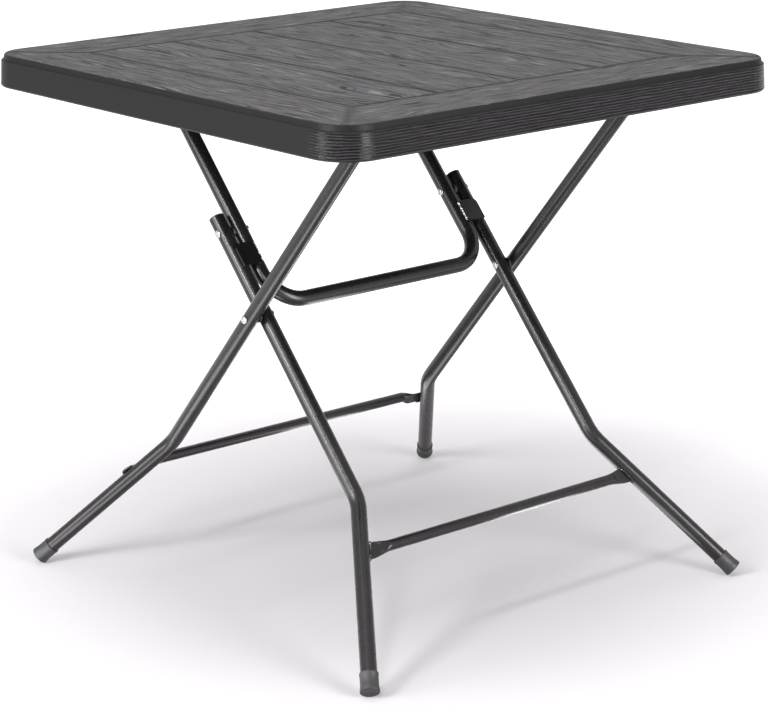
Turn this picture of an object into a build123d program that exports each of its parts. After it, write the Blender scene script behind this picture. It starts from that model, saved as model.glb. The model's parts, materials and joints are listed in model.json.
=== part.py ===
from build123d import *
from math import atan, atan2, cos, degrees, pi, radians, sin, sqrt

# A square folding card table: a moulded top on two crossing tube frames.
# The origin lies on the floor under the middle of the top. X runs along the hinge tubes,
# Y from the outer frame's hinge towards the prop's hinge, Z up. Lengths are in millimetres.

# Overall size of the open table
table_side = 780.0
table_height = 744.0

# Tabletop
skirt_height = 45.0
skirt_wall = 14.0
skirt_flare = 2.0
corner_radius = 54.0
panel_thickness = 26.7
shoulder_height = 8.0
shoulder_setback = 4.5
shoulder_flare = 2.0
shoulder_edge_bevel = 1.0
top_edge_bevel = 1.2
skirt_foot_bevel = 2.2

# Moulded plank pattern
border_board_width = 105.0
plank_joints = 3
groove_width = 3.8
groove_depth = 1.4
groove_overcut = 0.3
mitre_stop = 1.5

# Pockets of the underside, where the two walls of the moulding meet
pocket_columns = 7
pocket_rows = 5
pocket_pitch = 95.0
pocket_mouth = 26.0
pocket_floor = 12.0
pocket_depth = 18.0

# Tubes
tube_radius = 11.0
tube_wall = 1.2
bar_radius = 7.5
leg_bend_radius = 60.0
prop_bend_radius = 50.0

# Clearances
weld_gap = 0.05
seat_gap = 0.05
running_fit = 0.05
moving_gap = 0.3

# Pivots as seen from the side
hinge_headroom = 0.3
outer_hinge_setback = 266.5
prop_hinge_setback = 247.0
cross_pivot_setback = 14.5
cross_pivot_height = 413.0

# Folded attitude of the frames, in degrees below the level of the top
folded_tilt = 1.7
folded_shortfall = 0.5

# Distances of the tube axes from the middle of the table
outer_leg_offset = 242.6
inner_leg_offset = 217.8
prop_arm_offset = 190.7

# Lower ends of the legs
outer_bend_height = 193.2
inner_bend_height = 196.7
outer_foot_offset = 381.0
inner_foot_offset = 346.8

# Rubber feet
foot_end_radius = 13.2
foot_neck_radius = 12.6
foot_length = 27.0
foot_flare_length = 9.0
foot_floor = 4.0

# Crossbars
outer_crossbar_drop = 364.8
inner_crossbar_drop = 361.0
outer_crossbar_gap = 0.6
flat_width = 23.0
outer_flat_thickness = 3.0
inner_flat_thickness = 4.6
outer_flat_start = 246.0
outer_flattening = 14.0
inner_flat_start = 206.0
inner_flattening = 32.0
tongue_overhang = 6.6

# Inner leg ends and the prop
inner_leg_stub = 24.0
prop_bar_drop = 379.8

# Stop plates
stop_plate_width = 32.0
stop_plate_length = 34.0
stop_plate_thickness = 3.0
stop_plate_corner = 8.0
stop_plate_inner_edge = 190.0
stop_plate_from_pivot = 43.0

# Rivets, washers and spacers
rivet_radius = 3.0
rivet_head_radius = 5.5
rivet_crown_radius = 3.2
rivet_head_height = 3.5
bucked_head_height = 2.0
low_head_height = 1.8
washer_radius = 8.0
spacer_radius = 7.5

# Hinge straps and their screws
outer_strap_offset = 150.0
prop_strap_offset = 115.0
strap_width = 25.0
strap_thickness = 2.0
strap_flange = 16.0
strap_hole_radius = 2.5
screw_radius = 2.1
screw_shank_sides = 8
screw_length = 15.0
screw_head_radius = 4.4
screw_head_sides = 6
screw_head_height = 2.6
pilot_clearance = 0.1

# Tube plugs
plug_depth = 10.0
plug_clearance = 0.05
plug_head_height = 2.0
plug_head_bevel = 0.8

# Number of flat sides that stand for a circle on small pieces
foot_sides = 24
small_sides = 16
head_sides = 12

half_side = table_side / 2
panel_underside = table_height - panel_thickness
skirt_bottom = table_height - skirt_height
shoulder_level = table_height - shoulder_height
hinge_height = panel_underside - hinge_headroom - tube_radius
tube_bore = tube_radius - tube_wall

# Side view: points of the linkage in the YZ plane
outer_hinge = Vector(0, -outer_hinge_setback, hinge_height)
prop_hinge = Vector(0, prop_hinge_setback, hinge_height)
cross_pivot = Vector(0, -cross_pivot_setback, cross_pivot_height)
outer_reach = (cross_pivot - outer_hinge).length
inner_reach = (cross_pivot - prop_hinge).length
outer_down = (cross_pivot - outer_hinge).normalized()
inner_down = (cross_pivot - prop_hinge).normalized()


def below_level(angle):
    """Direction in the YZ plane pointing along +Y and sinking by an angle in degrees."""
    return Vector(0, cos(radians(angle)), -sin(radians(angle)))


def prop_pivot_rise():
    """Distance from the cross pivot up to the prop pivot.

    With the table open, the prop and the upper part of the inner frame lie in one line. With
    the table folded, the same two lengths must still meet, and that fixes where they are pinned.
    """
    folded_cross = outer_hinge + below_level(folded_tilt) * outer_reach
    span = folded_cross - prop_hinge
    inner_up = below_level(folded_tilt + folded_shortfall) * -1
    along = span.dot(inner_up)
    return (inner_reach**2 - span.length**2) / (2 * (inner_reach + along))


prop_pivot_up = prop_pivot_rise()


def flat_frame(down):
    """Plane of one frame: local X across the table, local Y down the legs."""
    return Plane(origin=cross_pivot, x_dir=(1, 0, 0), z_dir=(0, -down.Z, down.Y))


outer_plane = flat_frame(outer_down)
inner_plane = flat_frame(inner_down)


def across(radius, inner_x, outer_x, drop):
    """Cylinder along local X between two distances from the middle, at a place down the leg."""
    length = outer_x - inner_x
    middle = (inner_x + outer_x) / 2
    return Pos(middle, drop, 0) * Rot(0, 90, 0) * Cylinder(radius, length)


def rod(section, inner_x, outer_x, drop):
    """Straight piece along local X between two distances from the middle."""
    return Pos(inner_x, drop, 0) * Rot(0, 90, 0) * extrude(section, amount=outer_x - inner_x)


def inscribed(radius, sides=small_sides):
    """Many-sided outline with its corners on a circle."""
    return RegularPolygon(radius, sides)


def circumscribed(radius, sides=small_sides):
    """Many-sided outline with its sides on a circle."""
    return RegularPolygon(radius, sides, major_radius=False)


def both_sides(shape):
    """The right-hand piece and its mirror image on the left."""
    return [shape, mirror(shape, about=Plane.YZ)]


def bent_tube(points, bend_radius):
    """Round tube along a bent centre line, solid inside because no end of it stays open."""
    path = FilletPolyline(*points, radius=bend_radius)
    section = Plane(origin=path @ 0, z_dir=path % 0) * Circle(tube_radius)
    return sweep(section, path)


# Tabletop
def rounded_square(half, level):
    """Square outline whose corners stay concentric with the outer ones."""
    corner = corner_radius - (half_side - half)
    return Pos(0, 0, level) * RectangleRounded(2 * half, 2 * half, corner)


def edges_at(shape, level):
    """Edges lying wholly at one height."""
    tolerance = seat_gap / 10
    return shape.edges().filter_by_position(Axis.Z, level - tolerance, level + tolerance)


def groove(start, end):
    """V-groove in the top face between two points of that face."""
    run = Vector(*end, 0) - Vector(*start, 0)
    begin = Vector(*start, table_height)
    half_width = groove_width / 2
    lift = groove_overcut
    spread = half_width * (1 + lift / groove_depth)
    section = make_face(Polyline((-spread, lift), (spread, lift), (0, -groove_depth), close=True))
    side = run.normalized().cross(Vector(0, 0, 1))
    plane = Plane(origin=begin, x_dir=side, z_dir=run.normalized())
    return extrude(plane * section, amount=run.length)


def plank_grooves():
    """Joints between the planks, round the field and along the four mitres."""
    field = half_side - border_board_width
    centre = half_side - corner_radius
    face_corner = corner_radius - shoulder_setback - shoulder_flare - top_edge_bevel
    edge = centre + (face_corner - mitre_stop) / sqrt(2)
    corners = [(-field, -field), (field, -field), (field, field), (-field, field)]
    joint_step = 2 * field / (plank_joints + 1)
    cuts = []
    for index in range(4):
        cuts.append(groove(corners[index], corners[(index + 1) % 4]))
        x, y = corners[index]
        cuts.append(groove((x, y), (x / field * edge, y / field * edge)))
    for index in range(plank_joints):
        x = -field + joint_step * (index + 1)
        cuts.append(groove((x, -field), (x, field)))
    return cuts


def pockets():
    """Grid of square tapered pockets pressed up into the underside."""
    narrowing = (pocket_mouth - pocket_floor) / 2
    taper = degrees(atan(narrowing / pocket_depth))
    mouth = Pos(0, 0, panel_underside) * Rectangle(pocket_mouth, pocket_mouth)
    pocket = extrude(mouth, amount=pocket_depth, taper=taper)
    grid = GridLocations(pocket_pitch, pocket_pitch, pocket_columns, pocket_rows)
    return [spot * pocket for spot in grid]


def strap_places():
    """Middle of every hinge strap on its hinge tube."""
    outer = [(side * outer_strap_offset, outer_hinge.Y) for side in (1, -1)]
    prop = [(side * prop_strap_offset, prop_hinge.Y) for side in (1, -1)]
    return outer + prop


screw_spacing = tube_radius + running_fit + strap_thickness + strap_flange / 2


def screw_places():
    """The two screws of every strap."""
    return [(x, y + side * screw_spacing) for x, y in strap_places() for side in (1, -1)]


def make_tabletop():
    """Moulded top: a planked slab with a stepped shoulder over a recessed skirt."""
    skirt_rise = shoulder_level - skirt_bottom
    skirt_angle = degrees(atan(skirt_flare / skirt_rise))
    base_half = half_side + skirt_flare * skirt_foot_bevel / skirt_rise
    body = extrude(rounded_square(base_half, skirt_bottom), amount=skirt_rise, taper=skirt_angle)
    slab_half = half_side - shoulder_setback
    slab_angle = degrees(atan(shoulder_flare / shoulder_height))
    slab = extrude(
        rounded_square(slab_half, shoulder_level), amount=shoulder_height, taper=slab_angle
    )
    body = chamfer(edges_at(body, shoulder_level), shoulder_edge_bevel)
    body = chamfer(edges_at(body, skirt_bottom), skirt_foot_bevel)
    slab = chamfer(edges_at(slab, table_height), top_edge_bevel)
    recess = extrude(
        rounded_square(half_side - skirt_wall, skirt_bottom), amount=panel_underside - skirt_bottom
    )
    pilot = screw_shank(screw_radius + pilot_clearance, screw_length)
    pilots = [Pos(x, y, panel_underside) * pilot for x, y in screw_places()]
    return body - recess + slab - plank_grooves() - pockets() - pilots


def make_strap(x, y):
    """Sheet-steel strap bent round a hinge tube, with a flange on either side."""
    bore = tube_radius + running_fit
    outside = bore + strap_thickness
    rise = panel_underside - seat_gap - hinge_height
    shell = Circle(outside) + Pos(0, rise / 2) * Rectangle(2 * outside, rise)
    shell = shell & Pos(0, rise - outside) * Rectangle(2 * outside, 2 * outside)
    span = 2 * (outside + strap_flange)
    flanges = Pos(0, rise - strap_thickness / 2) * Rectangle(span, strap_thickness)
    hollow = Circle(bore) + Pos(0, rise / 2) * Rectangle(2 * bore, rise)
    outline = shell + flanges - hollow
    strap = extrude(Plane.YZ * outline, amount=strap_width / 2, both=True)
    hole = screw_shank(strap_hole_radius, 2 * strap_thickness)
    for side in (1, -1):
        strap -= Pos(0, side * screw_spacing, rise - 1.5 * strap_thickness) * hole
    return Pos(x, y, hinge_height) * strap


def screw_shank(radius, length):
    """Many-sided rod that stands for a screw's threaded shank, or for its hole."""
    return extrude(RegularPolygon(radius, screw_shank_sides), amount=length)


def make_screw(x, y):
    """Hexagon-headed screw driven upwards through a strap flange into the top."""
    shank = screw_shank(screw_radius, screw_length - seat_gap + strap_thickness)
    head = extrude(RegularPolygon(screw_head_radius, screw_head_sides), amount=-screw_head_height)
    level = panel_underside - 2 * seat_gap - strap_thickness
    return Pos(x, y, level) * (shank + head)


# Legs
def splay(offset, foot_offset, bend_drop, floor_drop):
    """Angle by which the lower leg spreads outwards, in radians."""
    return atan2(foot_offset - offset, floor_drop - bend_drop)


class LegShape:
    """Numbers of one bent leg in the plane of its frame."""

    def __init__(self, offset, foot_offset, bend_height, down, top):
        self.offset = offset
        self.top = top
        self.bend_drop = (cross_pivot_height - bend_height) / -down.Z
        floor_drop = cross_pivot_height / -down.Z
        self.angle = splay(offset, foot_offset, self.bend_drop, floor_drop)
        steepness = cos(self.angle) * -down.Z
        end_height = foot_end_radius * sqrt(1 - steepness**2)
        self.foot_drop = (cross_pivot_height - end_height) / -down.Z
        self.axis = Vector(sin(self.angle), cos(self.angle), 0)
        self.end = self.point(self.foot_drop)

    def point(self, drop):
        """Point of the leg's axis at a distance down the frame."""
        lower = max(drop - self.bend_drop, 0)
        return Vector(self.offset + lower * sin(self.angle) / cos(self.angle), drop, 0)

    def points(self):
        """Centre line from the upper end to the tube's end inside the rubber foot."""
        tube_end = self.end - self.axis * (foot_floor + seat_gap)
        return [self.point(self.top), self.point(self.bend_drop), tube_end]

    def foot_plane(self):
        """Plane of the foot's bottom face, looking out of the foot."""
        return Plane(origin=self.end, x_dir=(0, 0, 1), z_dir=self.axis)

    def lower_core(self, radius):
        """Cylinder round the axis of the splayed part of the leg."""
        return self.foot_plane() * Cylinder(radius, self.foot_drop)


outer_leg = LegShape(
    outer_leg_offset, outer_foot_offset, outer_bend_height, outer_down, -outer_reach
)
inner_leg = LegShape(
    inner_leg_offset,
    inner_foot_offset,
    inner_bend_height,
    inner_down,
    -prop_pivot_up - inner_leg_stub,
)


def pivot_hole(offset, drop):
    """Cutter for a rivet hole right through a tube."""
    reach = 2 * tube_radius
    return across(rivet_radius + running_fit, offset - reach, offset + reach, drop)


def make_outer_leg():
    """Bent leg, coped to the hinge tube and drilled for the cross rivet."""
    leg = bent_tube(outer_leg.points(), leg_bend_radius)
    reach = 2 * tube_radius
    cope = across(
        tube_radius + weld_gap, outer_leg_offset - reach, outer_leg_offset + reach, -outer_reach
    )
    return leg - cope - pivot_hole(outer_leg_offset, 0)


def stub_end():
    """Plane of the inner leg's upper end, looking out of the leg."""
    return Plane(origin=inner_leg.point(inner_leg.top), x_dir=(1, 0, 0), z_dir=(0, -1, 0))


def plug_socket():
    """Cutter for the blind socket that takes the plug in the leg's upper end."""
    return stub_end() * extrude(inscribed(tube_bore), amount=-plug_depth - seat_gap)


def make_inner_leg():
    """Bent leg drilled for the cross rivet and the prop rivet, its upper end open for a plug."""
    leg = bent_tube(inner_leg.points(), leg_bend_radius)
    leg -= pivot_hole(inner_leg_offset, 0)
    leg -= pivot_hole(inner_leg_offset, -prop_pivot_up)
    return leg - plug_socket()


def make_foot(leg):
    """Rubber cap pushed over the leg's end, flared towards its tread."""
    lean = degrees(atan((foot_end_radius - foot_neck_radius) / foot_flare_length))
    tread = inscribed(foot_end_radius, foot_sides)
    flare = extrude(tread, amount=-foot_flare_length, taper=lean)
    neck = extrude(inscribed(foot_neck_radius, foot_sides), amount=-foot_length)
    bore = extrude(circumscribed(tube_radius + seat_gap, foot_sides), amount=-foot_length)
    bore -= extrude(tread, amount=-foot_floor)
    return leg.foot_plane() * (flare + neck - bore)


# Crossbars
def bar_plane(x, drop, lift):
    """Plane that cuts a crossbar square to X."""
    return Plane(origin=(x, drop, lift), x_dir=(0, 1, 0), z_dir=(1, 0, 0))


def round_points():
    """Corners of the many-sided outline from which a crossbar is pressed flat."""
    step = 2 * pi / small_sides
    angles = [(index + 0.5) * step for index in range(small_sides)]
    return [(bar_radius * cos(angle), bar_radius * sin(angle)) for angle in angles]


def flat_points(thickness):
    """The same number of corners, shared out evenly between the two flat sides."""
    per_side = small_sides // 2
    step = flat_width / (per_side - 1)
    upper = [(flat_width / 2 - step * index, thickness / 2) for index in range(per_side)]
    return upper + [(-x, -y) for x, y in upper]


def bar_half(drop, round_end, round_lift, flat_start, flat_lift, thickness, end):
    """Right half of a crossbar: round, then pressed flat, then a strip."""
    round_outline = make_face(Polyline(*round_points(), close=True))
    flat_outline = make_face(Polyline(*flat_points(thickness), close=True))
    last_round = bar_plane(round_end, drop, round_lift) * round_outline
    first_flat = bar_plane(flat_start, drop, flat_lift) * flat_outline
    bar = extrude(bar_plane(0, drop, round_lift) * Circle(bar_radius), amount=round_end)
    bar += loft([last_round, first_flat], ruled=True)
    strip = Rectangle(flat_width, thickness)
    return bar + extrude(bar_plane(flat_start, drop, flat_lift) * strip, amount=end - flat_start)


def make_outer_crossbar():
    """Round bar behind the outer legs; its flattened ends lie on their backs as tongues."""
    drop = outer_crossbar_drop
    back = tube_radius + weld_gap
    tip = outer_leg.point(drop).X + tongue_overhang
    half = bar_half(
        drop,
        outer_flat_start,
        tube_radius + outer_crossbar_gap + bar_radius,
        outer_flat_start + outer_flattening,
        back + outer_flat_thickness / 2,
        outer_flat_thickness,
        tip - flat_width / 2,
    )
    tongue = Cylinder(flat_width / 2, outer_flat_thickness)
    half += Pos(tip - flat_width / 2, drop, back + outer_flat_thickness / 2) * tongue
    return half + mirror(half, about=Plane.YZ)


def make_inner_crossbar():
    """Round bar between the inner legs, its ends pressed to fishtails butted against them."""
    drop = inner_crossbar_drop
    end = inner_leg.point(drop).X
    flat_start = inner_flat_start + inner_flattening
    half = bar_half(drop, inner_flat_start, 0, flat_start, 0, inner_flat_thickness, end)
    half -= inner_leg.lower_core(tube_radius + weld_gap)
    half = half.solids().sort_by(Axis.X)[0]
    return half + mirror(half, about=Plane.YZ)


# Prop
def make_prop_tube():
    """U-bent tube: two arms coped to their hinge tube and the bar that joins them below."""
    low = prop_bar_drop - inner_reach
    points = [
        (-prop_arm_offset, -inner_reach),
        (-prop_arm_offset, low),
        (prop_arm_offset, low),
        (prop_arm_offset, -inner_reach),
    ]
    tube = bent_tube(points, prop_bend_radius)
    reach = prop_arm_offset + 2 * tube_radius
    tube -= across(tube_radius + weld_gap, -reach, reach, -inner_reach)
    tube -= pivot_hole(prop_arm_offset, -prop_pivot_up)
    return tube - pivot_hole(-prop_arm_offset, -prop_pivot_up)


def make_hinge_tube(half_length, drop):
    """Straight tube across the top of a frame."""
    tube = across(tube_radius, -half_length, half_length, drop)
    return tube - rod(inscribed(tube_bore), -half_length, half_length, drop)


def make_stop_plate():
    """Plate on the prop that lies over the front of the inner leg."""
    blank = Rectangle(stop_plate_width, stop_plate_length)
    upper = blank.vertices().sort_by(Axis.Y)[:2]
    blank = fillet(upper, stop_plate_corner)
    middle_x = stop_plate_inner_edge + stop_plate_width / 2
    middle_y = stop_plate_from_pivot - prop_pivot_up
    level = -tube_radius - moving_gap - stop_plate_thickness
    return Pos(middle_x, middle_y, level) * extrude(blank, amount=stop_plate_thickness)


# Plugs
def make_headed_plug():
    """Plug with a bevelled head as wide as the tube; its outer face looks along +Z."""
    head = extrude(Pos(0, 0, seat_gap) * inscribed(tube_radius, foot_sides), amount=plug_head_height)
    head = chamfer(edges_at(head, seat_gap + plug_head_height), plug_head_bevel)
    spigot = extrude(inscribed(tube_bore - plug_clearance), amount=-plug_depth)
    spigot += extrude(inscribed(tube_bore - plug_clearance), amount=seat_gap)
    return head + spigot


def make_flush_plug(half_length, drop):
    """Plug flush with the end of a hinge tube."""
    section = inscribed(tube_bore - plug_clearance)
    return rod(section, half_length - plug_depth, half_length, drop)


# Rivets
outer_leg_inside = outer_leg_offset - tube_radius
outer_leg_outside = outer_leg_offset + tube_radius
inner_leg_inside = inner_leg_offset - tube_radius
inner_leg_outside = inner_leg_offset + tube_radius
prop_arm_inside = prop_arm_offset - tube_radius
prop_arm_outside = prop_arm_offset + tube_radius


def rivet_head(height):
    """Crowned rivet head whose crown looks along +Z."""
    slope = degrees(atan((rivet_head_radius - rivet_crown_radius) / height))
    return extrude(circumscribed(rivet_head_radius, head_sides), amount=height, taper=slope)


def head_outwards(x, drop, height):
    """Rivet head on the outer side of a tube."""
    return Pos(x, drop, 0) * Rot(0, 90, 0) * rivet_head(height)


def head_inwards(x, drop, height):
    """Rivet head on the inner side of a tube."""
    return Pos(x, drop, 0) * Rot(0, -90, 0) * rivet_head(height)


def make_cross_rivet():
    """Rivet through the outer leg and the inner leg, with a taller head outside."""
    start = inner_leg_inside - seat_gap
    end = outer_leg_outside + seat_gap
    rivet = across(rivet_radius, start, end, 0)
    rivet += head_outwards(end, 0, rivet_head_height)
    return rivet + head_inwards(start, 0, bucked_head_height)


def make_cross_washer():
    """Thin washer that keeps the two crossing legs apart."""
    start = inner_leg_outside + moving_gap
    end = outer_leg_inside - seat_gap
    outline = circumscribed(washer_radius) - circumscribed(rivet_radius + running_fit)
    return rod(outline, start, end, 0)


def make_prop_rivet():
    """Outer half of the prop rivet: a low head and the shank through the inner leg."""
    start = prop_arm_outside + moving_gap
    end = inner_leg_outside + seat_gap
    rivet = rod(inscribed(rivet_radius), start, end, -prop_pivot_up)
    return rivet + head_outwards(end, -prop_pivot_up, low_head_height)


def make_prop_spacer():
    """Spacer between the inner leg and the prop."""
    start = prop_arm_outside + moving_gap
    end = inner_leg_inside - seat_gap
    outline = circumscribed(spacer_radius) - circumscribed(rivet_radius + running_fit)
    return rod(outline, start, end, -prop_pivot_up)


def make_prop_rivet_head():
    """Inner half of the prop rivet: the shank through the prop and its head."""
    start = prop_arm_inside - seat_gap
    end = prop_arm_outside
    rivet = rod(inscribed(rivet_radius), start, end, -prop_pivot_up)
    return rivet + head_inwards(start, -prop_pivot_up, rivet_head_height)


def save(name, *shapes):
    """Write one node: a single solid, or a group of separate solids."""
    solids = [solid for shape in shapes for solid in shape.solids()]
    node = solids[0] if len(solids) == 1 else Compound(solids)
    node.label = name
    export_step(node, f"parts/{name}.step")


def save_pair(name, plane, shape):
    """Write the right-hand piece and its mirror image as two nodes."""
    right, left = both_sides(plane * shape)
    save(f"{name}_right", right)
    save(f"{name}_left", left)


save("tabletop_panel", make_tabletop())
straps = [make_strap(x, y) for x, y in strap_places()]
save("outer_hinge_strap_right", straps[0])
save("outer_hinge_strap_left", straps[1])
save("prop_hinge_strap_right", straps[2])
save("prop_hinge_strap_left", straps[3])
save("hinge_strap_screws", *[make_screw(x, y) for x, y in screw_places()])

save_pair("outer_leg", outer_plane, make_outer_leg())
save("outer_hinge_tube", outer_plane * make_hinge_tube(outer_leg_outside, -outer_reach))
outer_tube_plug = make_flush_plug(outer_leg_outside, -outer_reach)
save("outer_hinge_tube_plugs", *both_sides(outer_plane * outer_tube_plug))
save("outer_crossbar", outer_plane * make_outer_crossbar())
save_pair("outer_foot_cap", outer_plane, make_foot(outer_leg))
save_pair("cross_pivot_rivet", outer_plane, make_cross_rivet())
save("cross_pivot_washers", *both_sides(outer_plane * make_cross_washer()))

save_pair("inner_leg", inner_plane, make_inner_leg())
save("inner_crossbar", inner_plane * make_inner_crossbar())
save_pair("inner_foot_cap", inner_plane, make_foot(inner_leg))
save("inner_leg_end_plugs", *both_sides(inner_plane * stub_end() * make_headed_plug()))
save_pair("prop_pivot_rivet", inner_plane, make_prop_rivet())
save("prop_pivot_spacers", *both_sides(inner_plane * make_prop_spacer()))

save("prop_tube", inner_plane * make_prop_tube())
save("prop_hinge_tube", inner_plane * make_hinge_tube(prop_arm_outside, -inner_reach))
prop_tube_plug = make_flush_plug(prop_arm_outside, -inner_reach)
save("prop_hinge_tube_plugs", *both_sides(inner_plane * prop_tube_plug))
save_pair("stop_plate", inner_plane, make_stop_plate())
save("prop_pivot_rivet_heads", *both_sides(inner_plane * make_prop_rivet_head()))
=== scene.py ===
"""Looks of a square folding card table: planked plastic top on crossing coated tube frames."""

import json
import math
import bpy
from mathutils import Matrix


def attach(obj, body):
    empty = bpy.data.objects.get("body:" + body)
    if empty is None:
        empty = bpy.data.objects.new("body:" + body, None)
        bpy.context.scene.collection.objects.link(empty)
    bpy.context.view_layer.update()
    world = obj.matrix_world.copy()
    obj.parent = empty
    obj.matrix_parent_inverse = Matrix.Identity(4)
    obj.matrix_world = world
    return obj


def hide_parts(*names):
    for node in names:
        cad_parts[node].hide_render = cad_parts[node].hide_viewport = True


bl_info = {
    "name": "Folding Card Table",
    "version": (1, 1, 0),
    "blender": (4, 5, 0),
    "location": "View3D > Sidebar > Card Table",
    "description": "Finishes, fasteners, feet and welds of a folding card table, with its studio",
    "category": "Object",
}

import bpy
import numpy as np
from bpy.props import FloatProperty, FloatVectorProperty, IntProperty, PointerProperty
from mathutils import Matrix, Vector

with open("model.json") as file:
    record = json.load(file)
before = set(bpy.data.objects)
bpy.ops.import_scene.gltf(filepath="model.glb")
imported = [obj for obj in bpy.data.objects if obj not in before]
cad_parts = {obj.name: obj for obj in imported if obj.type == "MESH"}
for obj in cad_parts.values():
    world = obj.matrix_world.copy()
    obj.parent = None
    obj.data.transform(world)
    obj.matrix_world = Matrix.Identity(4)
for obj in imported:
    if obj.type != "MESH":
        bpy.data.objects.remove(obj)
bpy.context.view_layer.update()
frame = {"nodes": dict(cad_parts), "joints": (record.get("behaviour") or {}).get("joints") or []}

MM = 0.001

# Sizes shared with the solids, in metres
HALF_SIDE = 390.0 * MM
TABLE_HEIGHT = 744.0 * MM
PANEL_UNDERSIDE = 717.3 * MM
SKIRT_BOTTOM = 699.0 * MM
SHOULDER_LEVEL = 736.0 * MM
BORDER_BOARD = 105.0 * MM
PLANK_WIDTH = 142.5 * MM
TUBE_RADIUS = 11.0 * MM
BAR_RADIUS = 7.5 * MM
OUTER_LEG_OFFSET = 242.6 * MM
INNER_LEG_OFFSET = 217.8 * MM
PROP_ARM_OFFSET = 190.7 * MM
OUTER_FOOT_OFFSET = 381.0 * MM
INNER_FOOT_OFFSET = 346.8 * MM
OUTER_BEND_HEIGHT = 193.2 * MM
INNER_BEND_HEIGHT = 196.7 * MM
PROP_PIVOT_UP = 132.767 * MM
STUB = 24.0 * MM
FOOT_END_RADIUS = 13.2 * MM
FOOT_NECK_RADIUS = 12.6 * MM
FOOT_LENGTH = 27.0 * MM
FOOT_FLARE = 9.0 * MM
FOOT_FLOOR = 4.0 * MM
SEAT_GAP = 0.05 * MM
PLUG_RADIUS = 9.8 * MM - SEAT_GAP
PLUG_DEPTH = 10.0 * MM
MOVING_GAP = 0.3 * MM
OUTER_BAR_DROP = 364.8 * MM
INNER_BAR_DROP = 361.0 * MM
FLAT_WIDTH = 23.0 * MM
RIVET_RADIUS = 3.0 * MM
RIVET_HEAD_RADIUS = 5.5 * MM
PLATE_INNER_EDGE = 190.0 * MM
PLATE_LENGTH = 34.0 * MM
PLATE_FROM_PIVOT = 43.0 * MM
PLATE_LIFT = -11.3 * MM
STRAP_SHEET = 2.0 * MM
SCREW_FROM_STRAP = 8.0 * MM
OUTER_STRAP_OFFSET = 150.0 * MM
PROP_STRAP_OFFSET = 115.0 * MM
OUTER_WALL = OUTER_LEG_OFFSET + TUBE_RADIUS
INNER_WALL = INNER_LEG_OFFSET + TUBE_RADIUS
ARM_WALL = PROP_ARM_OFFSET + TUBE_RADIUS

# Grain and ridges of the top, as lengths of their noises in millimetres: across, along, between
GRAIN_DRIFT = (62.0, 240.0, 1.0)
GRAIN_FIBRES = (3.2, 95.0, 1.0)
GRAIN_PORES = (2.2, 62.0, 1.0)
GRAIN_RINGS = (13.0, 320.0, 1.0)
RIDGE_WANDER = (70.0, 1.0, 9.0)
RIDGE_BREAKS = (26.0, 1.0, 5.0)

# How far the grain drifts across a board and a ridge wanders up and down, in millimetres
DRIFT_REACH = 70.0
WANDER_REACH = 4.6

# Distances in from the edge of the top, in millimetres, between which ridges come and go
CORNER_RIDGES = (72.0, 44.0)
WALL_RIDGES = (22.0, 19.0)

# Step between the grains of two boards, and the number of a border board
BOARD_SEED = 37.7
BORDER_NUMBER = 6.5


def joint_place(name):
    """Point on the axis of a joint, in metres."""
    places = {joint["name"]: joint["pos_m"] for joint in frame["joints"]}
    return np.array(places[name], dtype=float)


OUTER_HINGE = joint_place("outer_frame_fold")
CROSS_PIVOT = joint_place("leg_cross_fold")
PROP_HINGE = joint_place("prop_fold")


def unit(vector):
    """The vector divided by its length."""
    return vector / np.linalg.norm(vector)


ACROSS = np.array([1.0, 0.0, 0.0])
MIRROR = np.array([-1, 1, 1])
OUTER_DOWN = unit(CROSS_PIVOT - OUTER_HINGE)
INNER_DOWN = unit(CROSS_PIVOT - PROP_HINGE)
OUTER_NORMAL = np.cross(ACROSS, OUTER_DOWN)
INNER_NORMAL = np.cross(ACROSS, INNER_DOWN)


def on_frame(x, drop, lift, down, normal):
    """Point across the table from the cross pivot, down a frame and off its plane."""
    outer = np.multiply.outer
    return CROSS_PIVOT + outer(x, ACROSS) + outer(drop, down) + outer(lift, normal)


def on_outer(x, drop, lift=0.0):
    """Point of the outer frame."""
    return on_frame(x, drop, lift, OUTER_DOWN, OUTER_NORMAL)


def on_inner(x, drop, lift=0.0):
    """Point of the inner frame or of the prop, which lies in the same plane."""
    return on_frame(x, drop, lift, INNER_DOWN, INNER_NORMAL)


PROP_PIVOT = on_inner(0.0, -PROP_PIVOT_UP)


class Leg:
    """Axis of the splayed lower part of a bent leg."""

    def __init__(self, offset, foot_offset, bend_height, down, place):
        steep = -down[2]
        height = CROSS_PIVOT[2]
        self.offset = offset
        self.bend_drop = (height - bend_height) / steep
        self.angle = math.atan2(foot_offset - offset, height / steep - self.bend_drop)
        lean = math.cos(self.angle) * steep
        foot_drop = (height - FOOT_END_RADIUS * math.sqrt(1 - lean**2)) / steep
        self.end = place(self.axis_x(foot_drop), foot_drop)
        self.axis = math.sin(self.angle) * ACROSS + math.cos(self.angle) * down

    def axis_x(self, drop):
        """Distance of the leg's axis from the middle of the table, at a place down the leg."""
        return self.offset + np.maximum(drop - self.bend_drop, 0) * math.tan(self.angle)


OUTER_LEG = Leg(OUTER_LEG_OFFSET, OUTER_FOOT_OFFSET, OUTER_BEND_HEIGHT, OUTER_DOWN, on_outer)
INNER_LEG = Leg(INNER_LEG_OFFSET, INNER_FOOT_OFFSET, INNER_BEND_HEIGHT, INNER_DOWN, on_inner)


def linear(hex_colour):
    """sRGB hex to linear RGBA: each channel c becomes c/12.92 or ((c + 0.055)/1.055)^2.4."""
    channels = [int(hex_colour[i : i + 2], 16) / 255 for i in (1, 3, 5)]
    return [c / 12.92 if c <= 0.04045 else ((c + 0.055) / 1.055) ** 2.4 for c in channels] + [1.0]


# Settings


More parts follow.
